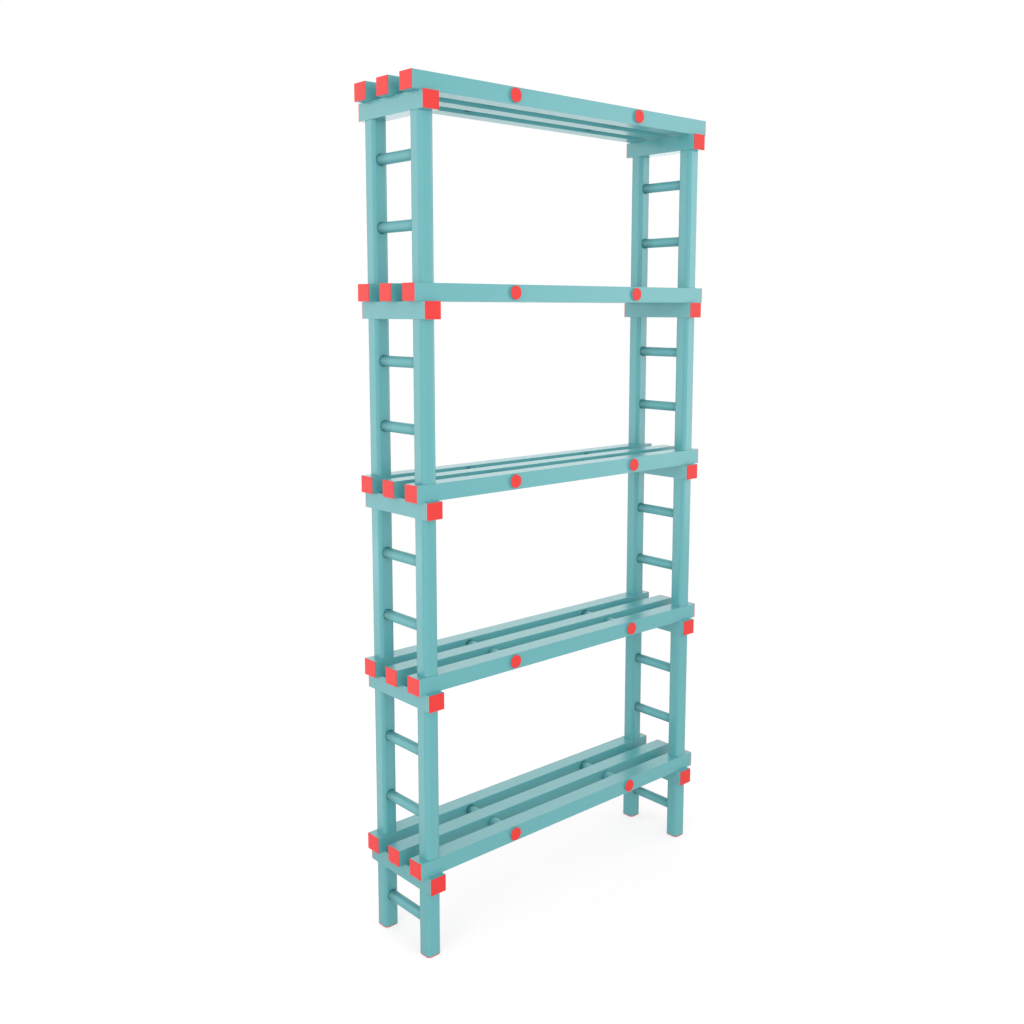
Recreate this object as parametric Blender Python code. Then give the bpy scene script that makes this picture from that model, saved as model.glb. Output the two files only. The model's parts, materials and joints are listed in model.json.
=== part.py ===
"""Plastic storage rack: five slatted decks on stacking ladder ends.

Metres, +Z up. The origin is on the floor under the middle of the rack.
+X runs along the decks to the right, and -Y faces the front.
"""
import math

import bmesh
import bpy
from mathutils import Matrix, Vector

# Decks, counted from the floor up
DECK_COUNT = 5
FIRST_DECK_TOP = 0.2415
DECK_PITCH = 0.440

# Posts: tubes of rounded-square section, one per corner and storey
POST_WIDTH = 0.039
POST_CORNER = 0.010
POST_WALL = 0.003

# Slats: rectangular tubes along X, three to a deck, wider than the posts that stand on them
SLAT_LENGTH = 0.972
SLAT_LEDGE = 0.00175
SLAT_HEIGHT = 0.0392
SLAT_WALL = 0.0025
SLAT_PITCH = 0.0852
SLAT_OVERHANG = 0.01975

# Bearers: rectangular tubes along Y under the slat ends, wider than the posts that carry them
BEARER_LEDGE = 0.00175
BEARER_HEIGHT = 0.0392
BEARER_WALL = 0.0025
BEARER_OVERHANG = 0.01355

# End caps: flat closures of the slats and bearers
CAP_THICKNESS = 0.002

# Spigots: tubes welded into the post tops, which reach through the deck into the next post
SPIGOT_WALL = 0.003
SPIGOT_ROOT = 0.040
SPIGOT_REACH = 0.040
SPIGOT_HEADROOM = 0.002

# Rungs: round tubes between the front and rear posts, at one even pitch, with none in a deck
RUNG_DIAMETER = 0.025
RUNG_WALL = 0.002
RUNG_RISE = 0.0988
RUNG_PITCH = 0.1496
RUNG_LAND = 0.010
RUNG_INSERT = 0.004

# Tie rods: round rods through the three slats, with a collar on the front end and a plug on both
TIE_DIAMETER = 0.025
TIE_LEFT = -0.197
TIE_RIGHT = 0.2173
TIE_DEPTH = 0.0186
COLLAR_RIM = 0.003
COLLAR_THICKNESS = 0.004
PLUG_RIM = 0.0037
PLUG_THICKNESS = 0.0015

# Foot caps: plates under the legs, with an insert pushed up into the tube
FOOT_THICKNESS = 0.002
FOOT_INSERT = 0.015

# Clearances: between faces that rest on each other, round what passes through a hole,
# and between a spigot and the post that lifts off it
SEAT_GAP = 0.0003
HOLE_CLEARANCE = 0.0003
SOCKET_CLEARANCE = 0.0005

# Faceting of the round shapes, and how far a cutting tool runs past a face
ROUND_SEGMENTS = 16
HIDDEN_SEGMENTS = 8
CORNER_SEGMENTS = 4
CUT_MARGIN = 0.005

# Sizes that follow from the ones above
SLAT_WIDTH = POST_WIDTH + 2 * SLAT_LEDGE
BEARER_WIDTH = POST_WIDTH + 2 * BEARER_LEDGE
DECK_DEPTH = 2 * SLAT_PITCH + SLAT_WIDTH
BEARER_LENGTH = DECK_DEPTH + 2 * BEARER_OVERHANG
POST_X = SLAT_LENGTH / 2 - SLAT_OVERHANG - BEARER_WIDTH / 2
POST_Y = SLAT_PITCH
BORE_WIDTH = POST_WIDTH - 2 * POST_WALL
BORE_CORNER = POST_CORNER - POST_WALL
SPIGOT_WIDTH = BORE_WIDTH - 2 * SOCKET_CLEARANCE
SPIGOT_CORNER = BORE_CORNER - SOCKET_CLEARANCE

TEAL = (0.19, 0.50, 0.52)
RED = (0.93, 0.09, 0.085)


def deck_top(storey):
    """Height of a deck's upper face."""
    return FIRST_DECK_TOP + (storey - 1) * DECK_PITCH


def post_bottom(storey):
    """Height of the lower end of a storey's posts, on the foot caps or on the deck below."""
    seat = FOOT_THICKNESS if storey == 1 else deck_top(storey - 1)
    return seat + SEAT_GAP


def post_top(storey):
    """Height of the upper end of a storey's posts, under its bearers."""
    return deck_top(storey) - SLAT_HEIGHT - BEARER_HEIGHT - 2 * SEAT_GAP


def spigot_top(storey):
    """Height of a spigot's end: in the next post, or under the top wall of the last deck's slats."""
    if storey == DECK_COUNT:
        return deck_top(storey) - SLAT_WALL - SPIGOT_HEADROOM
    return deck_top(storey) + SPIGOT_REACH


def rung_heights(storey):
    """Heights of a storey's rungs: one halfway up the legs, then those of the even pitch that fit."""
    if storey == 1:
        return [(post_bottom(storey) + post_top(storey)) / 2]
    margin = RUNG_LAND + RUNG_DIAMETER / 2
    lowest = post_bottom(storey) + SPIGOT_REACH + margin
    highest = post_top(storey) - margin
    start = FIRST_DECK_TOP + RUNG_RISE
    first = math.ceil((lowest - start) / RUNG_PITCH)
    last = math.floor((highest - start) / RUNG_PITCH)
    return [start + step * RUNG_PITCH for step in range(first, last + 1)]


def plastic(name, colour, roughness):
    """Opaque plastic."""
    material = bpy.data.materials.new(name)
    material.use_nodes = True
    shader = material.node_tree.nodes["Principled BSDF"]
    shader.inputs["Base Color"].default_value = (*colour, 1.0)
    shader.inputs["Roughness"].default_value = roughness
    shader.inputs["Metallic"].default_value = 0.0
    return material


def solid(name, bm):
    """Object of a finished bmesh, with its faces turned outwards."""
    bmesh.ops.recalc_face_normals(bm, faces=bm.faces)
    mesh = bpy.data.meshes.new(name)
    bm.to_mesh(mesh)
    bm.free()
    made = bpy.data.objects.new(name, mesh)
    bpy.context.scene.collection.objects.link(made)
    return made


def add_box(bm, size, centre=(0, 0, 0)):
    """Box of a size about a centre. Returns its vertices."""
    shape = Matrix.LocRotScale(Vector(centre), None, Vector(size))
    return bmesh.ops.create_cube(bm, size=1.0, matrix=shape)["verts"]


def add_square(bm, width, corner, segments, bottom, top, at=(0, 0)):
    """Upright square bar with its four long edges rounded, or chamfered where segments is 1."""
    height = top - bottom
    centre = (at[0], at[1], (bottom + top) / 2)
    corners = set(add_box(bm, (width, width, height), centre))
    box_edges = [edge for edge in bm.edges if edge.verts[0] in corners]
    upright = [edge for edge in box_edges if abs(edge.verts[0].co.z - edge.verts[1].co.z) > height / 2]
    bmesh.ops.bevel(
        bm,
        geom=upright,
        offset=corner,
        offset_type="OFFSET",
        segments=segments,
        profile=0.5,
        affect="EDGES",
        material=-1,
    )


def add_chamfered(bm, width, corner, bottom, top, at=(0, 0)):
    """Upright octagonal bar: a square whose chamfers touch the round corners of that radius."""
    add_square(bm, width, corner * (2 - math.sqrt(2)), 1, bottom, top, at)


def add_rod(bm, diameter, front, rear, at=(0, 0), segments=ROUND_SEGMENTS):
    """Round rod along Y between two depths, at an (x, z) place."""
    middle = Matrix.Translation((at[0], (front + rear) / 2, at[1]))
    bmesh.ops.create_cone(
        bm,
        cap_ends=True,
        segments=segments,
        radius1=diameter / 2,
        radius2=diameter / 2,
        depth=rear - front,
        matrix=middle @ Matrix.Rotation(math.pi / 2, 4, "X"),
    )


def carve(name, base, steps):
    """Mesh of a base solid after each (operation, tool) step. The base and tools are used up."""
    for operation, tool in steps:
        modifier = base.modifiers.new(tool.name, "BOOLEAN")
        modifier.operation = operation
        modifier.solver = "EXACT"
        modifier.object = tool
    bpy.context.view_layer.update()
    evaluated = base.evaluated_get(bpy.context.evaluated_depsgraph_get())
    mesh = bpy.data.meshes.new_from_object(evaluated)
    mesh.name = name
    for spent in [base] + [tool for _, tool in steps]:
        bpy.data.objects.remove(spent, do_unlink=True)
    return mesh


def finish(mesh, body, ends=None, axis=0, low=0.0, high=0.0):
    """Shade a mesh and give it its plastic, with the faces past two places on an axis in another one."""
    mesh.materials.clear()
    mesh.materials.append(body)
    if ends:
        mesh.materials.append(ends)
        for face in mesh.polygons:
            face.material_index = int(not low < face.center[axis] < high)
    mesh.shade_smooth()
    mesh.set_sharp_from_angle(angle=math.radians(30))
    return mesh


def place(name, mesh, carrier, position):
    """Named piece at a world position, parented to the storey that carries it."""
    piece = bpy.data.objects.new(name, mesh)
    bpy.context.scene.collection.objects.link(piece)
    piece.parent = carrier
    piece.location = Vector(position) - carrier.matrix_world.translation
    return piece


def storey_empty(storey, below):
    """Carrier of one storey, on the vertical line along which it lifts off the storey below."""
    level = 0.0 if storey == 1 else deck_top(storey - 1)
    carrier = bpy.data.objects.new(f"storey_{storey}", None)
    bpy.context.scene.collection.objects.link(carrier)
    carrier.parent = below
    carrier.location.z = level - (below.matrix_world.translation.z if below else 0.0)
    bpy.context.view_layer.update()
    return carrier


def tube(name, size, wall, axis):
    """Rectangular tube along an axis, closed by its end caps, and the tool that hollows it."""
    outer = bmesh.new()
    add_box(outer, size)
    hollow = [extent - 2 * (CAP_THICKNESS if i == axis else wall) for i, extent in enumerate(size)]
    inner = bmesh.new()
    add_box(inner, hollow)
    return solid(name, outer), solid(name + "_hollow", inner)


def add_spigot_hole(bm, bottom, top, at):
    """Opening that a spigot passes through."""
    width = SPIGOT_WIDTH + 2 * HOLE_CLEARANCE
    add_chamfered(bm, width, SPIGOT_CORNER + HOLE_CLEARANCE, bottom, top, at)


def slat_mesh(name, spigot_hole_top):
    """Slat with its tie rod holes and, where given, spigot holes up to a height."""
    base, hollow = tube(name, (SLAT_LENGTH, SLAT_WIDTH, SLAT_HEIGHT), SLAT_WALL, 0)
    holes = bmesh.new()
    side = SLAT_WIDTH / 2 + CUT_MARGIN
    for x in (TIE_LEFT, TIE_RIGHT):
        add_rod(holes, TIE_DIAMETER + 2 * HOLE_CLEARANCE, -side, side, (x, SLAT_HEIGHT / 2 - TIE_DEPTH))
    if spigot_hole_top is not None:
        for x in (-POST_X, POST_X):
            add_spigot_hole(holes, -SLAT_HEIGHT / 2 - CUT_MARGIN, spigot_hole_top, (x, 0))
    mesh = carve(name, base, [("DIFFERENCE", hollow), ("DIFFERENCE", solid(name + "_holes", holes))])
    cap_start = SLAT_LENGTH / 2 - CAP_THICKNESS / 2
    return finish(mesh, slat_teal, cap_red, 0, -cap_start, cap_start)


def bearer_mesh():
    """Bearer with a spigot hole over each of its two posts."""
    base, hollow = tube("bearer", (BEARER_WIDTH, BEARER_LENGTH, BEARER_HEIGHT), BEARER_WALL, 1)
    holes = bmesh.new()
    reach = BEARER_HEIGHT / 2 + CUT_MARGIN
    for y in (-POST_Y, POST_Y):
        add_spigot_hole(holes, -reach, reach, (0, y))
    mesh = carve("bearer", base, [("DIFFERENCE", hollow), ("DIFFERENCE", solid("bearer_holes", holes))])
    cap_start = BEARER_LENGTH / 2 - CAP_THICKNESS / 2
    return finish(mesh, bearer_teal, cap_red, 1, -cap_start, cap_start)


def tie_rod_mesh():
    """Tie rod: a collar against the front slat with a plug on it, and a plug against the rear slat."""
    rear_seat = DECK_DEPTH / 2 + SEAT_GAP
    front_seat = -rear_seat
    collar_face = front_seat - COLLAR_THICKNESS
    inside_plug = PLUG_THICKNESS / 2
    rod = bmesh.new()
    add_rod(rod, TIE_DIAMETER, collar_face - inside_plug, rear_seat + inside_plug)
    collar = bmesh.new()
    add_rod(collar, TIE_DIAMETER + 2 * COLLAR_RIM, collar_face - inside_plug, front_seat)
    plugs = bmesh.new()
    for front, rear in ((collar_face - PLUG_THICKNESS, collar_face), (rear_seat, rear_seat + PLUG_THICKNESS)):
        add_rod(plugs, TIE_DIAMETER + 2 * PLUG_RIM, front, rear)
    steps = [("UNION", solid("tie_rod_collar", collar)), ("UNION", solid("tie_rod_plugs", plugs))]
    mesh = carve("tie_rod", solid("tie_rod", rod), steps)
    return finish(mesh, rod_teal, plug_red, 1, collar_face + inside_plug, DECK_DEPTH / 2)


def post_mesh(storey, carries_rungs):
    """Post with its spigot. A front post carries its storey's rungs, a rear one has their holes."""
    name = f"{'front' if carries_rungs else 'rear'}_post_{storey}"
    foot = post_bottom(storey)
    length = post_top(storey) - foot
    tip = spigot_top(storey) - foot
    root = length - SPIGOT_ROOT

    shaft = bmesh.new()
    add_square(shaft, POST_WIDTH, POST_CORNER, CORNER_SEGMENTS, 0, length)
    spigot = bmesh.new()
    add_chamfered(spigot, SPIGOT_WIDTH, SPIGOT_CORNER, root, tip)
    post_bore = bmesh.new()
    add_chamfered(post_bore, BORE_WIDTH, BORE_CORNER, -CUT_MARGIN, root)
    spigot_bore = bmesh.new()
    inner_width = SPIGOT_WIDTH - 2 * SPIGOT_WALL
    add_chamfered(spigot_bore, inner_width, SPIGOT_CORNER - SPIGOT_WALL, root - CUT_MARGIN, tip + CUT_MARGIN)
    steps = [
        ("UNION", solid(name + "_spigot", spigot)),
        ("DIFFERENCE", solid(name + "_bore", post_bore)),
        ("DIFFERENCE", solid(name + "_spigot_bore", spigot_bore)),
    ]

    heights = [height - foot for height in rung_heights(storey)]
    wall_inside = BORE_WIDTH / 2
    rung_front = wall_inside - RUNG_INSERT
    rung_rear = 2 * POST_Y - wall_inside + RUNG_INSERT
    if carries_rungs:
        rungs = bmesh.new()
        rung_bores = bmesh.new()
        rung_bore = RUNG_DIAMETER - 2 * RUNG_WALL
        for z in heights:
            add_rod(rungs, RUNG_DIAMETER, rung_front, rung_rear, (0, z))
            add_rod(rung_bores, rung_bore, 0, rung_rear + CUT_MARGIN, (0, z), HIDDEN_SEGMENTS)
        steps.append(("UNION", solid(name + "_rungs", rungs)))
        steps.append(("DIFFERENCE", solid(name + "_rung_bores", rung_bores)))
    else:
        rung_holes = bmesh.new()
        for z in heights:
            add_rod(rung_holes, RUNG_DIAMETER + 2 * HOLE_CLEARANCE, -POST_WIDTH / 2 - CUT_MARGIN, 0, (0, z))
        steps.append(("DIFFERENCE", solid(name + "_rung_holes", rung_holes)))
    return finish(carve(name, solid(name, shaft), steps), post_teal)


def foot_cap_mesh():
    """Foot cap: a plate of the post's outline and the insert that holds it in the tube."""
    plate = bmesh.new()
    add_square(plate, POST_WIDTH, POST_CORNER, CORNER_SEGMENTS, 0, FOOT_THICKNESS)
    insert = bmesh.new()
    width = BORE_WIDTH - 2 * HOLE_CLEARANCE
    top = FOOT_THICKNESS + SEAT_GAP + FOOT_INSERT
    add_chamfered(insert, width, BORE_CORNER - HOLE_CLEARANCE, FOOT_THICKNESS / 2, top)
    mesh = carve("foot_cap", solid("foot_cap", plate), [("UNION", solid("foot_cap_insert", insert))])
    return finish(mesh, foot_red)


for leftover in list(bpy.data.objects):
    bpy.data.objects.remove(leftover, do_unlink=True)

slat_teal = plastic("slat_teal", TEAL, 0.38)
bearer_teal = plastic("bearer_teal", TEAL, 0.38)
post_teal = plastic("post_teal", TEAL, 0.36)
rod_teal = plastic("rod_teal", TEAL, 0.38)
cap_red = plastic("cap_red", RED, 0.42)
plug_red = plastic("plug_red", RED, 0.42)
foot_red = plastic("foot_red", RED, 0.45)

through_slat = slat_mesh("outer_slat", SLAT_HEIGHT / 2 + CUT_MARGIN)
top_slat = slat_mesh("top_outer_slat", 0.0)
middle_slat = slat_mesh("middle_slat", None)
bearer = bearer_mesh()
tie_rod = tie_rod_mesh()
foot_cap = foot_cap_mesh()

sides = {"left": -POST_X, "right": POST_X}
ties = {"left": TIE_LEFT, "right": TIE_RIGHT}
carrier = None
for storey in range(1, DECK_COUNT + 1):
    carrier = storey_empty(storey, carrier)
    foot = post_bottom(storey)
    front_post = post_mesh(storey, True)
    rear_post = post_mesh(storey, False)
    slat_height = deck_top(storey) - SLAT_HEIGHT / 2
    bearer_height = deck_top(storey) - SLAT_HEIGHT - SEAT_GAP - BEARER_HEIGHT / 2
    outer_slat = top_slat if storey == DECK_COUNT else through_slat

    place(f"front_slat_{storey}", outer_slat, carrier, (0, -SLAT_PITCH, slat_height))
    place(f"middle_slat_{storey}", middle_slat, carrier, (0, 0, slat_height))
    place(f"rear_slat_{storey}", outer_slat, carrier, (0, SLAT_PITCH, slat_height))
    for side, x in ties.items():
        place(f"{side}_tie_rod_{storey}", tie_rod, carrier, (x, 0, deck_top(storey) - TIE_DEPTH))
    for side, x in sides.items():
        place(f"{side}_bearer_{storey}", bearer, carrier, (x, 0, bearer_height))
        place(f"{side}_front_post_{storey}", front_post, carrier, (x, -POST_Y, foot))
        place(f"{side}_rear_post_{storey}", rear_post, carrier, (x, POST_Y, foot))
        if storey == 1:
            place(f"{side}_front_foot_cap", foot_cap, carrier, (x, -POST_Y, 0))
            place(f"{side}_rear_foot_cap", foot_cap, carrier, (x, POST_Y, 0))
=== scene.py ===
import json
import math

import bmesh
import bpy
from mathutils import Matrix, Vector

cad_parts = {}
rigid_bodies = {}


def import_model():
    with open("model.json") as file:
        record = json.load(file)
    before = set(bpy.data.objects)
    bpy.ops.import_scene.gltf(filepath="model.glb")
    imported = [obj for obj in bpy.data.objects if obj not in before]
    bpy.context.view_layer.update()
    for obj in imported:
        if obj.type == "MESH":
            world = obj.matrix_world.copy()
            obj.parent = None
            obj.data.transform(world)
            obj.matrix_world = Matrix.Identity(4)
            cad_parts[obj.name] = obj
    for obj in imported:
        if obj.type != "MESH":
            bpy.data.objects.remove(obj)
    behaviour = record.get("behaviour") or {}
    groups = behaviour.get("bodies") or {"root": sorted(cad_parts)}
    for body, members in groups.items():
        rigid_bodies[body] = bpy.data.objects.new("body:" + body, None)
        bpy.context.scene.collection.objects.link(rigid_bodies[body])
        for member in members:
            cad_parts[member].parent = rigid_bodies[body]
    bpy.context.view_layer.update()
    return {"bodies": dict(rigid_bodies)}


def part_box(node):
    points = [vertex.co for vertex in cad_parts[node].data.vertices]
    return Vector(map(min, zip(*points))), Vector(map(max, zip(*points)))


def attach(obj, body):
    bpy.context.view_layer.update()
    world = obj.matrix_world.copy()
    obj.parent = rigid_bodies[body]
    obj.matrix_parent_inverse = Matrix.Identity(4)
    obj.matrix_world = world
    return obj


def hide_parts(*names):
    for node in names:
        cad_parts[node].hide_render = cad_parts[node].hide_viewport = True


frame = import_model()


# Foot caps: thin red caps that close the legs and keep them off the floor. Each is moulded as a
# plate of the leg's outline with a hollow plug behind it, which is pushed up into the tube.
SIDES = ("left", "right")
ROWS = ("front", "rear")
X_AXIS, Y_AXIS, Z_AXIS = range(3)
POST_CORNER = 0.010
POST_WALL = 0.003
CORNER_STEPS = 8
SOFT_STEPS = 3
SMOOTH_ANGLE = math.radians(40)
FACING_COSINE = 0.999
FOOT_PLATE = 0.002
FOOT_EDGE = 0.0006
PLUG_SLACK = 0.0003
PLUG_WALL = 0.002
RED = (0.890, 0.034, 0.030)
RED_WORN = (0.930, 0.130, 0.110, 1.0)
RED_CLOUD = {"Scale": 70.0, "Detail": 3.0}
RED_GRAIN = {"Scale": 2600.0, "Detail": 2.0}
RED_BUMP = {"Strength": 0.25, "Distance": 0.00004}
CLOUD_DEPTH = 0.03
CLOUD_LOW = 0.3
CLOUD_HIGH = 0.7
WEAR_PATCHES = {"Scale": 45.0, "Detail": 4.0}
WEAR_RANGE = {"From Min": 0.42, "From Max": 0.66, "To Min": 0.15, "To Max": 0.75}
WEAR_DULLNESS = 0.18
MIX_SHARE = 0
MIX_FIRST_COLOUR = 6
MIX_SECOND_COLOUR = 7
MIX_COLOUR = 2
FOOT_ROUGHNESS = (0.58, 0.68)


def start_mesh():
    """Empty bmesh whose faces can be marked as edges that wear."""
    bm = bmesh.new()
    bm.faces.layers.float.new("edge_wear")
    return bm


def round_over(bm, edges, radius, steps):
    """Round edges over to a radius. Returns the new faces."""
    made = bmesh.ops.bevel(
        bm,
        geom=edges,
        offset=radius,
        offset_type="OFFSET",
        segments=steps,
        profile=0.5,
        affect="EDGES",
        material=-1,
    )
    return made["faces"]


def soften(bm, edges, radius):
    """Take the sharpness off edges, and mark the new faces as the ones that wear."""
    worn = bm.faces.layers.float["edge_wear"]
    for face in round_over(bm, edges, radius, SOFT_STEPS):
        face[worn] = 1.0


def add_block(bm, low, high):
    """Rectangular block between two corners."""
    low, high = Vector(low), Vector(high)
    bmesh.ops.create_cube(bm, size=1.0, matrix=Matrix.LocRotScale((low + high) / 2, None, high - low))


def edges_along(bm, axis, least):
    """Edges that run further than a length along an axis."""
    return [edge for edge in bm.edges if abs(edge.verts[0].co[axis] - edge.verts[1].co[axis]) > least]


def rounded_bar(width, corner, bottom, top):
    """Upright bar of rounded-square section about the Z axis."""
    bm = start_mesh()
    add_block(bm, (-width / 2, -width / 2, bottom), (width / 2, width / 2, top))
    round_over(bm, edges_along(bm, Z_AXIS, (top - bottom) / 2), corner, CORNER_STEPS)
    return bm


def faces_towards(bm, direction):
    """Faces that look along a direction."""
    bm.normal_update()
    return [face for face in bm.faces if face.normal.dot(Vector(direction)) > FACING_COSINE]


def draw_plug(bm, back, margin, depth):
    """Draw a cap's back face out into the hollow plug that holds it, set in from its outline."""
    inwards = back.normal.copy()
    bmesh.ops.inset_individual(bm, faces=[back], thickness=margin, use_even_offset=True)
    drawn = bmesh.ops.extrude_discrete_faces(bm, faces=[back])["faces"]
    bmesh.ops.translate(bm, vec=inwards * depth, verts=drawn[0].verts)
    bmesh.ops.inset_individual(bm, faces=drawn, thickness=PLUG_WALL, use_even_offset=True)
    hollow = bmesh.ops.extrude_discrete_faces(bm, faces=drawn)["faces"]
    bmesh.ops.translate(bm, vec=-inwards * (depth - PLUG_WALL), verts=hollow[0].verts)


def finished_mesh(name, bm):
    """Mesh of a bmesh, smooth apart from its sharp edges."""
    bmesh.ops.recalc_face_normals(bm, faces=bm.faces)
    mesh = bpy.data.meshes.new(name)
    bm.to_mesh(mesh)
    bm.free()
    mesh.shade_smooth()
    mesh.set_sharp_from_angle(angle=SMOOTH_ANGLE)
    return mesh


def fit(name, mesh, position, material, body, node):
    """Put a copy of a mesh in its place, on its storey, for the CAD node that it stands for."""
    placed = mesh.copy()
    placed.name = name
    placed.transform(Matrix.Translation(position))
    placed.materials.clear()
    placed.materials.append(material)
    piece = bpy.data.objects.new(name, placed)
    bpy.context.scene.collection.objects.link(piece)
    flats = piece.modifiers.new("flat_faces", "WEIGHTED_NORMAL")
    flats.keep_sharp = True
    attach(piece, body)
    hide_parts(node)


def wire(tree, kind, inputs, **settings):
    """New node with its settings, and its inputs set to values or wired to other nodes' outputs."""
    node = tree.nodes.new(kind)
    for key, value in settings.items():
        setattr(node, key, value)
    for key, value in inputs.items():
        if isinstance(value, bpy.types.NodeSocket):
            tree.links.new(value, node.inputs[key])
        else:
            node.inputs[key].default_value = value
    return node.outputs


def combine(tree, operation, *values):
    """One value worked out from others."""
    return wire(tree, "ShaderNodeMath", dict(enumerate(values)), operation=operation)["Value"]


def mix_colours(tree, share, first, second):
    """Mix of two colours that takes a share of the second."""
    inputs = {MIX_SHARE: share, MIX_FIRST_COLOUR: first, MIX_SECOND_COLOUR: second}
    return wire(tree, "ShaderNodeMix", inputs, data_type="RGBA")[MIX_COLOUR]


def mottle(tree, spot, pattern):
    """Random pattern over a piece, of a scale and a fineness."""
    return wire(tree, "ShaderNodeTexNoise", {"Vector": spot, **pattern})[0]


def cloud_colours(tree, cloud, deep, bright):
    """Colour that drifts from a deep tone to a bright one with the clouds in the plastic."""
    ramp = tree.nodes.new("ShaderNodeValToRGB")
    low, high = ramp.color_ramp.elements
    low.position = CLOUD_LOW
    low.color = deep
    high.position = CLOUD_HIGH
    high.color = bright
    tree.links.new(cloud, ramp.inputs["Fac"])
    return ramp.outputs["Color"]


def worn_edges(tree, spot, clean, worn):
    """Colour with its rounded edges rubbed to another one in patches, and how much they are rubbed."""
    edge = wire(tree, "ShaderNodeAttribute", {}, attribute_name="edge_wear")["Fac"]
    patches = mottle(tree, spot, WEAR_PATCHES)
    rubbed = wire(tree, "ShaderNodeMapRange", {"Value": patches, **WEAR_RANGE})["Result"]
    amount = combine(tree, "MULTIPLY", edge, rubbed)
    return mix_colours(tree, amount, clean, worn), amount


def uneven_gloss(tree, pattern, smooth, dull, worn_amount):
    """Roughness that follows a pattern and rises where the edges are rubbed."""
    gloss = wire(tree, "ShaderNodeMapRange", {"Value": pattern, "To Min": smooth, "To Max": dull})["Result"]
    return combine(tree, "ADD", gloss, combine(tree, "MULTIPLY", worn_amount, WEAR_DULLNESS))


def moulded_red(name, red, smooth, dull):
    """Red moulded plastic: faintly clouded, with a fine spark-eroded grain and paler edges."""
    material = bpy.data.materials.new(name)
    material.use_nodes = True
    tree = material.node_tree
    spot = wire(tree, "ShaderNodeTexCoord", {})["Object"]
    cloud = mottle(tree, spot, RED_CLOUD)
    grain = mottle(tree, spot, RED_GRAIN)
    deep = Vector(red) * (1 - CLOUD_DEPTH)
    clouded = cloud_colours(tree, cloud, (*deep, 1.0), (*red, 1.0))
    colour, rubbed = worn_edges(tree, spot, clouded, RED_WORN)
    grained = wire(tree, "ShaderNodeBump", {**RED_BUMP, "Height": grain})["Normal"]
    shader = tree.nodes["Principled BSDF"]
    tree.links.new(colour, shader.inputs["Base Color"])
    tree.links.new(uneven_gloss(tree, cloud, smooth, dull, rubbed), shader.inputs["Roughness"])
    tree.links.new(grained, shader.inputs["Normal"])
    return material


foot_low, foot_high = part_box("left_front_foot_cap")
post_width = foot_high.x - foot_low.x
foot_bm = rounded_bar(post_width, POST_CORNER, 0, FOOT_PLATE)
draw_plug(foot_bm, faces_towards(foot_bm, (0, 0, 1))[0], POST_WALL + PLUG_SLACK, foot_high.z - FOOT_PLATE)
foot_sole = faces_towards(foot_bm, (0, 0, -1))[0]
soften(foot_bm, list(foot_sole.edges), FOOT_EDGE)
foot_mesh = finished_mesh("foot_cap", foot_bm)
foot_red = moulded_red("foot_red", RED, *FOOT_ROUGHNESS)
for side in SIDES:
    for row in ROWS:
        node = f"{side}_{row}_foot_cap"
        low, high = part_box(node)
        place = ((low.x + high.x) / 2, (low.y + high.y) / 2, 0)
        fit(f"foot_cap_{side}_{row}", foot_mesh, place, foot_red, "storey_1", node)


# Posts: teal tubes of rounded-square section, extruded and sawn to length. One stands in each
# corner of each storey, and the walls that face each other are drilled for the rungs.
STOREYS = range(1, len(frame["bodies"]) + 1)
INWARDS = {"front": 1, "rear": -1}
QUARTER_TURN = math.pi / 2
SAWN_EDGE = 0.0002
DRILL_MARGIN = 0.005
ROUND_STEPS = 48
RUNG_DIAMETER = 0.025
RUNG_CLEARANCE = {"front": 0.0003, "rear": 0.0009}
LOWEST_PITCHED_RUNG = 0.3403
RUNG_PITCH = 0.1496
RUNG_MARGIN = 0.0225
SPIGOT_REACH = 0.040
SEAT_GAP = 0.00005
TEAL = (0.140, 0.457, 0.481, 1.0)
TEAL_DEEP = (0.134, 0.445, 0.470, 1.0)
TEAL_WORN = (0.235, 0.560, 0.580, 1.0)
TEAL_CLOUD = {"Scale": 9.0, "Detail": 4.0}
TEAL_PEEL = {"Scale": 900.0, "Detail": 1.0}
TEAL_BUMP = {"Strength": 0.05, "Distance": 0.00002}
DIE_LINES = {"Scale": 1.0, "Detail": 2.0}
DIE_LINES_ALONG = 2.0
DIE_LINES_ACROSS = 1600.0
POST_ROUGHNESS = (0.20, 0.24)


def rod_tool(diameter, start, end, height):
    """Round bar along Y at a height, as a drill leaves it."""
    bm = bmesh.new()
    across = Matrix.Translation((0, (start + end) / 2, height)) @ Matrix.Rotation(QUARTER_TURN, 4, "X")
    bmesh.ops.create_cone(
        bm,
        cap_ends=True,
        segments=ROUND_STEPS,
        radius1=diameter / 2,
        radius2=diameter / 2,
        depth=end - start,
        matrix=across,
    )
    return bm


def drilled(name, bm, tools):
    """Mesh of a bmesh with the shapes of the tools cut out of it."""
    blank = bpy.data.objects.new(name, finished_mesh(name, bm))
    bpy.context.scene.collection.objects.link(blank)
    spent = [blank]
    for tool in tools:
        drill = bpy.data.objects.new("drill", finished_mesh("drill", tool))
        bpy.context.scene.collection.objects.link(drill)
        cut = blank.modifiers.new("cut", "BOOLEAN")
        cut.operation = "DIFFERENCE"
        cut.solver = "EXACT"
        cut.object = drill
        spent.append(drill)
    bpy.context.view_layer.update()
    mesh = bpy.data.meshes.new_from_object(blank.evaluated_get(bpy.context.evaluated_depsgraph_get()))
    for used in spent:
        bpy.data.objects.remove(used, do_unlink=True)
    mesh.shade_smooth()
    mesh.set_sharp_from_angle(angle=SMOOTH_ANGLE)
    return mesh


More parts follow.
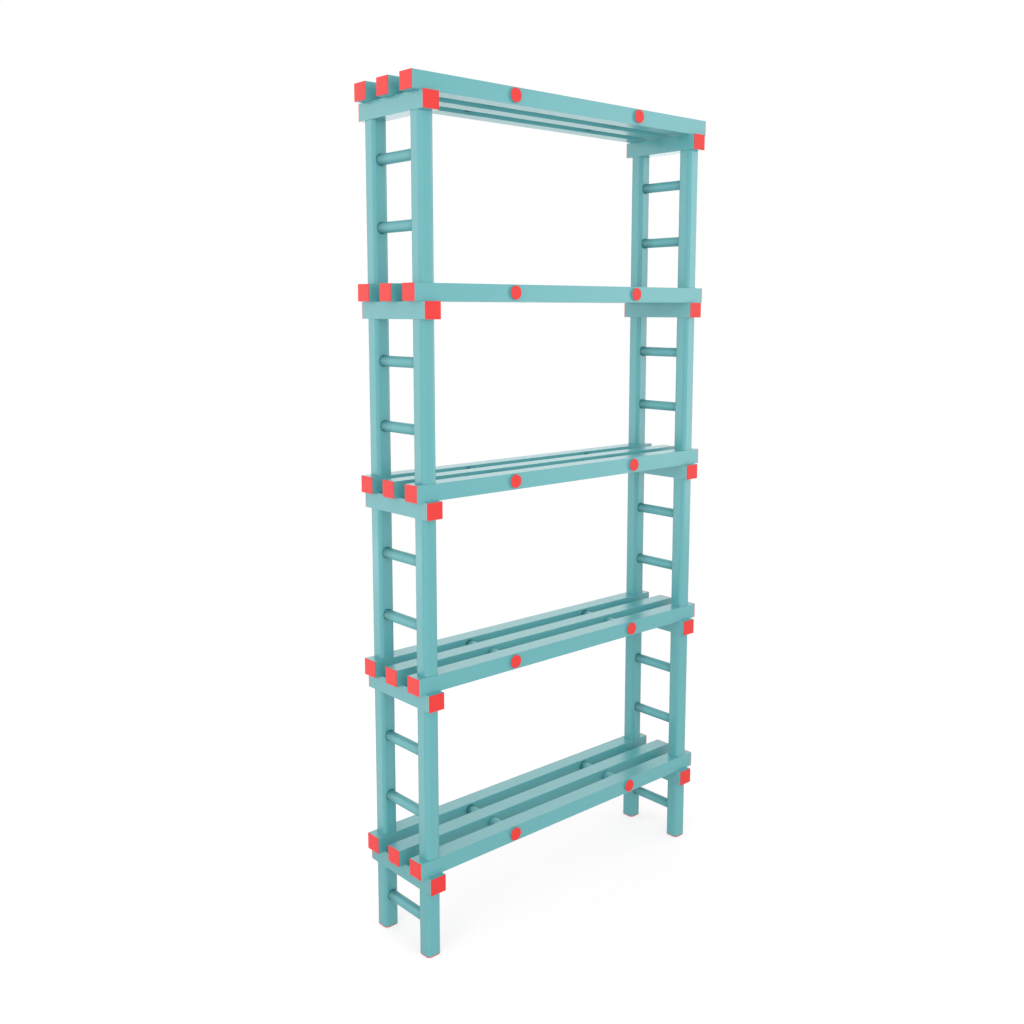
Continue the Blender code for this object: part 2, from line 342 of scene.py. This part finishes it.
def sawn_tube(name, width, corner, wall, length, holes):
    """Upright tube of rounded-square section, with its sawn ends eased and holes drilled in it."""
    bm = rounded_bar(width, corner, 0, length)
    ends = faces_towards(bm, (0, 0, 1)) + faces_towards(bm, (0, 0, -1))
    soften(bm, [edge for end in ends for edge in end.edges], SAWN_EDGE)
    bore = rounded_bar(width - 2 * wall, corner - wall, -DRILL_MARGIN, length + DRILL_MARGIN)
    return drilled(name, bm, [bore] + holes)


def rung_heights(bottom, top):
    """Heights of the rungs between a post's ends: halfway up a leg, or those of the even pitch that fit."""
    if bottom < LOWEST_PITCHED_RUNG - RUNG_PITCH:
        return [(bottom + top) / 2]
    low, high = bottom + SPIGOT_REACH + RUNG_MARGIN, top - RUNG_MARGIN
    first = math.ceil((low - LOWEST_PITCHED_RUNG) / RUNG_PITCH)
    last = math.floor((high - LOWEST_PITCHED_RUNG) / RUNG_PITCH)
    return [LOWEST_PITCHED_RUNG + step * RUNG_PITCH for step in range(first, last + 1)]


def extruded_teal(name, grain, smooth, dull):
    """Teal extruded plastic: faintly clouded, with die lines along an axis and rubbed edges."""
    material = bpy.data.materials.new(name)
    material.use_nodes = True
    tree = material.node_tree
    spot = wire(tree, "ShaderNodeTexCoord", {})["Object"]
    stretch = [DIE_LINES_ACROSS] * 3
    stretch[grain] = DIE_LINES_ALONG
    drawn = wire(tree, "ShaderNodeMapping", {"Vector": spot, "Scale": stretch})["Vector"]
    lines = mottle(tree, drawn, DIE_LINES)
    cloud = mottle(tree, spot, TEAL_CLOUD)
    peel = mottle(tree, spot, TEAL_PEEL)
    clouded = cloud_colours(tree, cloud, TEAL_DEEP, TEAL)
    colour, rubbed = worn_edges(tree, spot, clouded, TEAL_WORN)
    skin = wire(tree, "ShaderNodeBump", {**TEAL_BUMP, "Height": peel})["Normal"]
    ribbed = wire(tree, "ShaderNodeBump", {**TEAL_BUMP, "Height": lines, "Normal": skin})["Normal"]
    shader = tree.nodes["Principled BSDF"]
    tree.links.new(colour, shader.inputs["Base Color"])
    tree.links.new(uneven_gloss(tree, lines, smooth, dull, rubbed), shader.inputs["Roughness"])
    tree.links.new(ribbed, shader.inputs["Normal"])
    return material


post_teal = extruded_teal("post_teal", Z_AXIS, *POST_ROUGHNESS)
post_y = {}
for row in ROWS:
    low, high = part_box(f"left_{row}_foot_cap")
    post_y[row] = (low.y + high.y) / 2
post_x = {}
for side in SIDES:
    low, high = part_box(f"{side}_front_foot_cap")
    post_x[side] = (low.x + high.x) / 2
bearer_top = {}
post_bottom = {}
post_top = {}
for storey in STOREYS:
    body = f"storey_{storey}"
    seat = FOOT_PLATE if storey == 1 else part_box(f"front_slat_{storey - 1}")[1].z
    bearer_low, bearer_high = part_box(f"left_bearer_{storey}")
    bearer_top[storey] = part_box(f"front_slat_{storey}")[0].z - SEAT_GAP
    post_bottom[storey] = seat + SEAT_GAP
    post_top[storey] = bearer_top[storey] - (bearer_high.z - bearer_low.z) - SEAT_GAP
    foot = post_bottom[storey]
    length = post_top[storey] - foot
    heights = [height - foot for height in rung_heights(foot, post_top[storey])]
    for row, inwards in INWARDS.items():
        past_wall = inwards * (post_width / 2 + DRILL_MARGIN)
        drill_ends = (min(0, past_wall), max(0, past_wall))
        hole = RUNG_DIAMETER + 2 * RUNG_CLEARANCE[row]
        drills = [rod_tool(hole, *drill_ends, height) for height in heights]
        post_mesh = sawn_tube("post", post_width, POST_CORNER, POST_WALL, length, drills)
        for side in SIDES:
            name = f"post_{side}_{row}_{storey}"
            node = f"{side}_{row}_post_{storey}"
            place = (post_x[side], post_y[row], foot)
            fit(name, post_mesh, place, post_teal, body, node)


# Spigots: short teal tubes welded into the tops of the posts. They pass up through the deck and
# into the foot of the next post, so that the storeys plug together.
SPIGOT_ROOT = 0.040
SPIGOT_SLACK = 0.0005
SPIGOT_WALL = 0.003
spigot_width = post_width - 2 * POST_WALL - 2 * SPIGOT_SLACK
spigot_corner = POST_CORNER - POST_WALL - SPIGOT_SLACK
for storey in STOREYS:
    body = f"storey_{storey}"
    root = post_top[storey] - SPIGOT_ROOT
    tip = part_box(f"left_rear_post_{storey}")[1].z
    spigot_mesh = sawn_tube("spigot", spigot_width, spigot_corner, SPIGOT_WALL, tip - root, [])
    for side in SIDES:
        for row in ROWS:
            name = f"spigot_{side}_{row}_{storey}"
            node = f"{side}_{row}_post_{storey}"
            place = (post_x[side], post_y[row], root)
            fit(name, spigot_mesh, place, post_teal, body, node)


# Rungs: round teal tubes between the front and rear posts. They are welded into the drilled walls
# of the front posts and pushed into those of the rear posts. Painted shade darkens them where they go in.
RUNG_WALL = 0.002
RUNG_INSERT = 0.004
# Painted shade: the rung colour goes towards a dark teal near both posts, deepest at the rear ones.
RUNG_PAINTED_SHADE = {"front": {"reach": 0.020, "share": 0.3}, "rear": {"reach": 0.050, "share": 0.68}}
TEAL_PAINTED_SHADE = (0.035, 0.180, 0.190, 1.0)
RUNG_ROUGHNESS = (0.46, 0.54)


def round_tube(diameter, wall, start, end):
    """Round tube along Y, open at both ends."""
    bm = rod_tool(diameter, start, end, 0)
    ends = faces_towards(bm, (0, 1, 0)) + faces_towards(bm, (0, -1, 0))
    bmesh.ops.inset_individual(bm, faces=ends, thickness=wall, use_even_offset=True)
    rims = [edge for end in ends for edge in end.edges]
    bmesh.ops.delete(bm, geom=ends, context="FACES_ONLY")
    bmesh.ops.bridge_loops(bm, edges=rims)
    return bm


def paint_joint_shade(material, face, reach, share):
    """Darken a piece along Y with painted shade where it enters the face of another, at a place along Y."""
    tree = material.node_tree
    shader = tree.nodes["Principled BSDF"]
    clean = shader.inputs["Base Color"].links[0].from_socket
    spot = wire(tree, "ShaderNodeTexCoord", {})["Object"]
    along = wire(tree, "ShaderNodeSeparateXYZ", {"Vector": spot})["Y"]
    from_face = combine(tree, "ABSOLUTE", combine(tree, "SUBTRACT", along, face))
    shade_amount = wire(
        tree,
        "ShaderNodeMapRange",
        {"Value": from_face, "From Max": reach, "To Min": share, "To Max": 0.0},
        interpolation_type="SMOOTHSTEP",
    )["Result"]
    # Painted shade: the colour is mixed towards a dark teal close to the face.
    tree.links.new(mix_colours(tree, shade_amount, clean, TEAL_PAINTED_SHADE), shader.inputs["Base Color"])


post_face = post_y["rear"] - post_width / 2
rung_teal = extruded_teal("rung_teal", Y_AXIS, *RUNG_ROUGHNESS)
paint_joint_shade(rung_teal, -post_face, **RUNG_PAINTED_SHADE["front"])
paint_joint_shade(rung_teal, post_face, **RUNG_PAINTED_SHADE["rear"])
rung_end = post_face + POST_WALL + RUNG_INSERT
rung_mesh = finished_mesh("rung", round_tube(RUNG_DIAMETER, RUNG_WALL, -rung_end, rung_end))
for storey in STOREYS:
    body = f"storey_{storey}"
    for level, height in enumerate(rung_heights(post_bottom[storey], post_top[storey]), start=1):
        for side in SIDES:
            name = f"rung_{side}_{storey}_{level}"
            node = f"{side}_front_post_{storey}"
            fit(name, rung_mesh, (post_x[side], 0, height), rung_teal, body, node)


# Bearers: teal rectangular tubes that run from front to back over two posts. The spigots hold
# them, through holes in the upper and lower walls.
TUBE_WALL = 0.0025
TUBE_EDGE = 0.0003
CAP_FLANGE = 0.0018
SPIGOT_HOLE_SLACK = 0.0003
BEARER_ROUGHNESS = (0.20, 0.24)


def spigot_drill(x, y, bottom, top):
    """Tool that cuts a spigot's hole."""
    width = spigot_width + 2 * SPIGOT_HOLE_SLACK
    bm = rounded_bar(width, spigot_corner + SPIGOT_HOLE_SLACK, bottom, top)
    bmesh.ops.translate(bm, vec=(x, y, 0), verts=bm.verts)
    return bm


def box_tube(name, size, axis, holes):
    """Rectangular tube along an axis, about the origin, with its long edges eased and holes cut in it."""
    half = Vector(size) / 2
    bm = start_mesh()
    add_block(bm, -half, half)
    soften(bm, edges_along(bm, axis, half[axis]), TUBE_EDGE)
    inside = half - Vector((TUBE_WALL,) * 3)
    inside[axis] = half[axis] + DRILL_MARGIN
    bore = bmesh.new()
    add_block(bore, -inside, inside)
    return drilled(name, bm, [bore] + holes)


bearer_low, bearer_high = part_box("left_bearer_1")
bearer_size = bearer_high - bearer_low
bearer_tube_size = bearer_size - Vector((0, 2 * CAP_FLANGE, 0))
bearer_reach = bearer_size.z / 2 + DRILL_MARGIN
bearer_holes = [spigot_drill(0, y, -bearer_reach, bearer_reach) for y in post_y.values()]
bearer_mesh = box_tube("bearer", bearer_tube_size, Y_AXIS, bearer_holes)
bearer_teal = extruded_teal("bearer_teal", Y_AXIS, *BEARER_ROUGHNESS)
for storey in STOREYS:
    body = f"storey_{storey}"
    for side in SIDES:
        node = f"{side}_bearer_{storey}"
        low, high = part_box(node)
        place = ((low.x + high.x) / 2, 0, bearer_top[storey] - bearer_size.z / 2)
        fit(f"bearer_{side}_{storey}", bearer_mesh, place, bearer_teal, body, node)


# Bearer caps: red moulded caps in the open ends of the bearers, flush with the tube all round.
# A hollow plug behind the flange grips the tube from inside.
CAP_PLUG = 0.012
CAP_EDGE = 0.0003
CAP_ROUGHNESS = (0.54, 0.64)


def end_cap(name, width, height, turn):
    """Flat cap for a rectangular tube that opens towards +X, turned about Z to the way it faces."""
    bm = start_mesh()
    add_block(bm, (-CAP_FLANGE, -width / 2, -height / 2), (0, width / 2, height / 2))
    draw_plug(bm, faces_towards(bm, (-1, 0, 0))[0], TUBE_WALL + PLUG_SLACK, CAP_PLUG)
    front = faces_towards(bm, (1, 0, 0))[0]
    corners = [edge for vert in front.verts for edge in vert.link_edges if edge not in front.edges[:]]
    round_over(bm, corners, TUBE_EDGE, SOFT_STEPS)
    soften(bm, list(faces_towards(bm, (1, 0, 0))[0].edges), CAP_EDGE)
    bmesh.ops.rotate(bm, cent=(0, 0, 0), matrix=Matrix.Rotation(turn, 3, "Z"), verts=bm.verts)
    return finished_mesh(name, bm)


bearer_cap_red = moulded_red("bearer_cap_red", RED, *CAP_ROUGHNESS)
bearer_cap = {
    "front": end_cap("bearer_cap", bearer_size.x, bearer_size.z, -QUARTER_TURN),
    "rear": end_cap("bearer_cap", bearer_size.x, bearer_size.z, QUARTER_TURN),
}
for storey in STOREYS:
    body = f"storey_{storey}"
    for side in SIDES:
        node = f"{side}_bearer_{storey}"
        low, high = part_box(node)
        for row, y in (("front", low.y), ("rear", high.y)):
            name = f"bearer_cap_{side}_{row}_{storey}"
            place = ((low.x + high.x) / 2, y, bearer_top[storey] - bearer_size.z / 2)
            fit(name, bearer_cap[row], place, bearer_cap_red, body, node)


# Slats: teal rectangular tubes that lie along the rack, three to a deck. The outer two are
# threaded on the spigots, and all three on the tie rods.
SLAT_ROWS = ("front", "middle", "rear")
TIE_DIAMETER = 0.025
TIE_CLEARANCE = {"front": 0.0003, "middle": 0.0003, "rear": 0.0015}
SLAT_ROUGHNESS = (0.30, 0.34)
slat_low, slat_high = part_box("front_slat_1")
slat_size = slat_high - slat_low
slat_reach = slat_size.z / 2 + DRILL_MARGIN
slat_tube_size = slat_size - Vector((2 * CAP_FLANGE, 0, 0))
tie_low, tie_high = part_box("left_tie_rod_1")
tie_rise = (tie_low.z + tie_high.z - slat_low.z - slat_high.z) / 2
tie_x = {}
for side in SIDES:
    low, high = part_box(f"{side}_tie_rod_1")
    tie_x[side] = (low.x + high.x) / 2


def slat_holes(row, spigot_top):
    """Tools that cut a slat's tie rod holes and, in an outer row, its spigot holes up to a height."""
    across = slat_size.y / 2 + DRILL_MARGIN
    drills = []
    for x in tie_x.values():
        drill = rod_tool(TIE_DIAMETER + 2 * TIE_CLEARANCE[row], -across, across, tie_rise)
        bmesh.ops.translate(drill, vec=(x, 0, 0), verts=drill.verts)
        drills.append(drill)
    if row in ROWS:
        drills += [spigot_drill(x, 0, -slat_reach, spigot_top) for x in post_x.values()]
    return drills


slat_teal = extruded_teal("slat_teal", X_AXIS, *SLAT_ROUGHNESS)
for row in SLAT_ROWS:
    through_slat = box_tube("slat", slat_tube_size, X_AXIS, slat_holes(row, slat_reach))
    top_slat = box_tube("slat", slat_tube_size, X_AXIS, slat_holes(row, 0))
    for storey in STOREYS:
        body = f"storey_{storey}"
        slat_mesh = top_slat if storey == STOREYS[-1] else through_slat
        node = f"{row}_slat_{storey}"
        low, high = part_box(node)
        fit(f"slat_{row}_{storey}", slat_mesh, (low + high) / 2, slat_teal, body, node)


# Slat caps: red moulded caps like those of the bearers, pushed into the open ends of the slats.
# Their red is the bearer caps' red painted a little paler, as painted light on their ends.
# Painted light: a paler copy of the caps' red.
RED_PAINTED_LIGHTER = (0.955, 0.052, 0.048)
slat_cap_painted_light_red = moulded_red("slat_cap_painted_light_red", RED_PAINTED_LIGHTER, *CAP_ROUGHNESS)
slat_cap = {
    "left": end_cap("slat_cap", slat_size.y, slat_size.z, 2 * QUARTER_TURN),
    "right": end_cap("slat_cap", slat_size.y, slat_size.z, 0),
}
for storey in STOREYS:
    body = f"storey_{storey}"
    for row in SLAT_ROWS:
        node = f"{row}_slat_{storey}"
        low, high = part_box(node)
        middle = (low + high) / 2
        for side, x in (("left", low.x), ("right", high.x)):
            name = f"slat_cap_{row}_{side}_{storey}"
            fit(name, slat_cap[side], (x, middle.y, middle.z), slat_cap_painted_light_red, body, node)


# Tie rods: round teal tubes through the three slats of a deck, which keep them in line. They reach
# from plug to plug. Painted shade darkens them where they go into the middle and rear slats.
TIE_WALL = 0.0025
PLUG_HEAD = 0.0015
# Painted shade: the tie rod colour goes darker near the middle and rear slats.
TIE_PAINTED_SHADE = {"middle": {"reach": 0.015, "share": 0.3}, "rear": {"reach": 0.022, "share": 0.75}}
TIE_ROUGHNESS = (0.38, 0.46)
tie_front = tie_low.y + PLUG_HEAD
tie_rear = tie_high.y - PLUG_HEAD
tie_mesh = finished_mesh("tie_rod", round_tube(TIE_DIAMETER, TIE_WALL, tie_front, tie_rear))
tie_teal = extruded_teal("tie_teal", Y_AXIS, *TIE_ROUGHNESS)
for row, joint_shade in TIE_PAINTED_SHADE.items():
    paint_joint_shade(tie_teal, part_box(f"{row}_slat_1")[0].y, **joint_shade)
tie_place = {}
for storey in STOREYS:
    body = f"storey_{storey}"
    for side in SIDES:
        node = f"{side}_tie_rod_{storey}"
        low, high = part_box(node)
        tie_place[node] = ((low.x + high.x) / 2, 0, (low.z + high.z) / 2)
        fit(f"tie_rod_{side}_{storey}", tie_mesh, tie_place[node], tie_teal, body, node)


# Tie rod collars: teal rings welded on the front ends of the rods. Each is pushed home against the
# front slat, and the plug behind the deck keeps it there.
COLLAR_DIAMETER = 0.031
COLLAR_SLACK = 0.00005
collar_wall = (COLLAR_DIAMETER - TIE_DIAMETER) / 2 - COLLAR_SLACK
collar_rear = slat_low.y - SEAT_GAP
collar_teal = extruded_teal("collar_teal", Y_AXIS, *TIE_ROUGHNESS)
collar_mesh = finished_mesh("tie_collar", round_tube(COLLAR_DIAMETER, collar_wall, tie_front, collar_rear))
for storey in STOREYS:
    body = f"storey_{storey}"
    for side in SIDES:
        name = f"tie_collar_{side}_{storey}"
        node = f"{side}_tie_rod_{storey}"
        fit(name, collar_mesh, tie_place[node], collar_teal, body, node)


# Tie rod plugs: flat round red heads, wider than the rods that they close. Each is moulded with
# a hollow plug that is pushed into the rod's end.
PLUG_EDGE = 0.0005
plug_diameter = tie_high.x - tie_low.x
plug_margin = (plug_diameter - TIE_DIAMETER) / 2 + TIE_WALL + PLUG_SLACK
plug_red = moulded_red("plug_red", RED, *CAP_ROUGHNESS)
plug_mesh = {}
for row, inwards in INWARDS.items():
    plug_bm = start_mesh()
    face_turn = Matrix.Rotation(inwards * QUARTER_TURN, 4, "X")
    bmesh.ops.create_cone(
        plug_bm,
        cap_ends=True,
        segments=ROUND_STEPS,
        radius1=plug_diameter / 2,
        radius2=plug_diameter / 2,
        depth=PLUG_HEAD,
        matrix=face_turn @ Matrix.Translation((0, 0, -PLUG_HEAD / 2)),
    )
    draw_plug(plug_bm, faces_towards(plug_bm, (0, inwards, 0))[0], plug_margin, CAP_PLUG)
    soften(plug_bm, list(faces_towards(plug_bm, (0, -inwards, 0))[0].edges), PLUG_EDGE)
    plug_mesh[row] = finished_mesh("plug", plug_bm)
for storey in STOREYS:
    body = f"storey_{storey}"
    for side in SIDES:
        node = f"{side}_tie_rod_{storey}"
        x, _, z = tie_place[node]
        for row, y in (("front", tie_low.y), ("rear", tie_high.y)):
            name = f"tie_plug_{side}_{row}_{storey}"
            fit(name, plug_mesh[row], (x, y, z), plug_red, body, node)


# Floor: a plain pale sheet that runs out of sight. The camera and the gloss of the plastic see it
# glow white, and round the rack a share of the lit floor is left in it for the soft shadow.
FLOOR_HALF = 9.0
FLOOR_PALE = (0.80, 0.80, 0.80, 1.0)
FLOOR_LIT = (0.69, 0.62, 0.62, 1.0)
FLOOR_UNLIT = (0.0, 0.0, 0.0, 1.0)
GLOW_BY_RACK = 0.543
SHADOW_NEAR = 0.7
SHADOW_FAR = 2.2


def seen_directly(tree):
    """One for the camera, for gloss and for what shows through, and nought for scattered light."""
    path = wire(tree, "ShaderNodeLightPath", {})
    gloss = combine(tree, "MAXIMUM", path["Is Camera Ray"], path["Is Glossy Ray"])
    return combine(tree, "MAXIMUM", gloss, path["Is Transmission Ray"])


floor_bm = bmesh.new()
bmesh.ops.create_grid(floor_bm, x_segments=1, y_segments=1, size=FLOOR_HALF)
floor = bpy.data.objects.new("floor", finished_mesh("floor", floor_bm))
bpy.context.scene.collection.objects.link(floor)
floor_paint = bpy.data.materials.new("floor_paint")
floor_paint.use_nodes = True
floor_tree = floor_paint.node_tree
floor_tree.nodes.clear()
direct = seen_directly(floor_tree)
floor_spot = wire(floor_tree, "ShaderNodeTexCoord", {})["Object"]
from_rack = wire(floor_tree, "ShaderNodeVectorMath", {0: floor_spot}, operation="LENGTH")["Value"]
clear_of_rack = wire(
    floor_tree,
    "ShaderNodeMapRange",
    {"Value": from_rack, "From Min": SHADOW_NEAR, "From Max": SHADOW_FAR},
    interpolation_type="SMOOTHSTEP",
)["Result"]
seen_lit = mix_colours(floor_tree, clear_of_rack, FLOOR_LIT, FLOOR_UNLIT)
floor_colour = mix_colours(floor_tree, direct, FLOOR_PALE, seen_lit)
lit_floor = wire(floor_tree, "ShaderNodeBsdfDiffuse", {"Color": floor_colour})["BSDF"]
glow_range = {"Value": clear_of_rack, "To Min": GLOW_BY_RACK}
glow_level = wire(floor_tree, "ShaderNodeMapRange", glow_range)["Result"]
glow_seen = combine(floor_tree, "MULTIPLY", direct, glow_level)
glow = wire(floor_tree, "ShaderNodeEmission", {"Strength": glow_seen})["Emission"]
floor_surface = wire(floor_tree, "ShaderNodeAddShader", {0: lit_floor, 1: glow})["Shader"]
wire(floor_tree, "ShaderNodeOutputMaterial", {"Surface": floor_surface})
floor.data.materials.append(floor_paint)


# Light: an even white room, with a soft lamp in front of the rack, one on its left and a weak one
# behind it, which stay out of the gloss of the plastic. The panels show in that gloss alone, on the
# left faces, the decks and the right posts.
ROOM_WHITE = (1.0, 1.0, 1.0, 1.0)
ROOM_LEVEL = 0.705
BACKDROP_LEVEL = 1.0
LAMPS = {
    "front_lamp": {"place": (-0.7, -5.0, 2.1), "width": 3.4, "height": 3.4, "watts": 69.0},
    "left_lamp": {"place": (-5.0, -1.7, 2.1), "width": 3.0, "height": 3.4, "watts": 62.5},
    "back_lamp": {"place": (-0.2, 1.3, 1.05), "width": 0.6, "height": 2.0, "watts": 3.2},
}
GLOSS_PANELS = {
    "left_panel": {"place": (-2.2, 2.4, 1.7), "width": 2.4, "height": 3.2, "watts": 31.0},
    "near_panel": {"place": (-0.83, 0.47, 0.43), "width": 0.5, "height": 0.86, "watts": 1.1},
    "high_panel": {"place": (5.0, 6.2, 4.5), "width": 5.0, "height": 3.6, "watts": 68.0},
    "low_panel": {"place": (5.0, 6.2, 0.95), "width": 6.0, "height": 1.5, "watts": 30.0},
    "right_panel": {"place": (4.2, -3.0, 1.3), "width": 3.0, "height": 4.4, "watts": 84.0},
}


def white_ground(tree, level):
    """White surroundings of a brightness."""
    return wire(tree, "ShaderNodeBackground", {"Color": ROOM_WHITE, "Strength": level})["Background"]


def soft_lamp(name, place, width, height, watts):
    """Flat soft lamp that stands upright at a place, turned to the rack. Only its light is seen."""
    lamp = bpy.data.lights.new(name, "AREA")
    lamp.shape = "RECTANGLE"
    lamp.size = width
    lamp.size_y = height
    lamp.energy = watts
    fixture = bpy.data.objects.new(name, lamp)
    fixture.location = place
    fixture.rotation_euler = Vector((-place[0], -place[1], 0)).to_track_quat("-Z", "Y").to_euler()
    fixture.visible_camera = False
    bpy.context.scene.collection.objects.link(fixture)
    return fixture


room = bpy.data.worlds.new("white_room")
room.use_nodes = True
room_tree = room.node_tree
room_tree.nodes.clear()
scattered = white_ground(room_tree, ROOM_LEVEL)
backdrop = white_ground(room_tree, BACKDROP_LEVEL)
room_views = {0: seen_directly(room_tree), 1: scattered, 2: backdrop}
shown = wire(room_tree, "ShaderNodeMixShader", room_views)["Shader"]
wire(room_tree, "ShaderNodeOutputWorld", {"Surface": shown})
bpy.context.scene.world = room
for name, lamp in LAMPS.items():
    soft_lamp(name, **lamp).visible_glossy = False
for name, panel in GLOSS_PANELS.items():
    soft_lamp(name, **panel).visible_diffuse = False


# Camera: at the photograph's place, a little below the fourth deck, in front of the rack and to its
# left. Its lens and its shift give the photograph's frame.
CAMERA_PLACE = (-1.8955, -2.0040, 1.5031)
CAMERA_YAW = math.radians(41.687)
CAMERA_PITCH = math.radians(7.663)
CAMERA_LENS = 38.370
CAMERA_SHIFT = -0.05385
camera = bpy.data.cameras.new("camera")
camera.lens = CAMERA_LENS
camera.shift_y = CAMERA_SHIFT
viewpoint = bpy.data.objects.new("camera", camera)
viewpoint.location = CAMERA_PLACE
viewpoint.rotation_euler = (QUARTER_TURN - CAMERA_PITCH, 0, -CAMERA_YAW)
bpy.context.scene.collection.objects.link(viewpoint)
bpy.context.scene.camera = viewpoint
bpy.context.scene.view_settings.view_transform = "Standard"
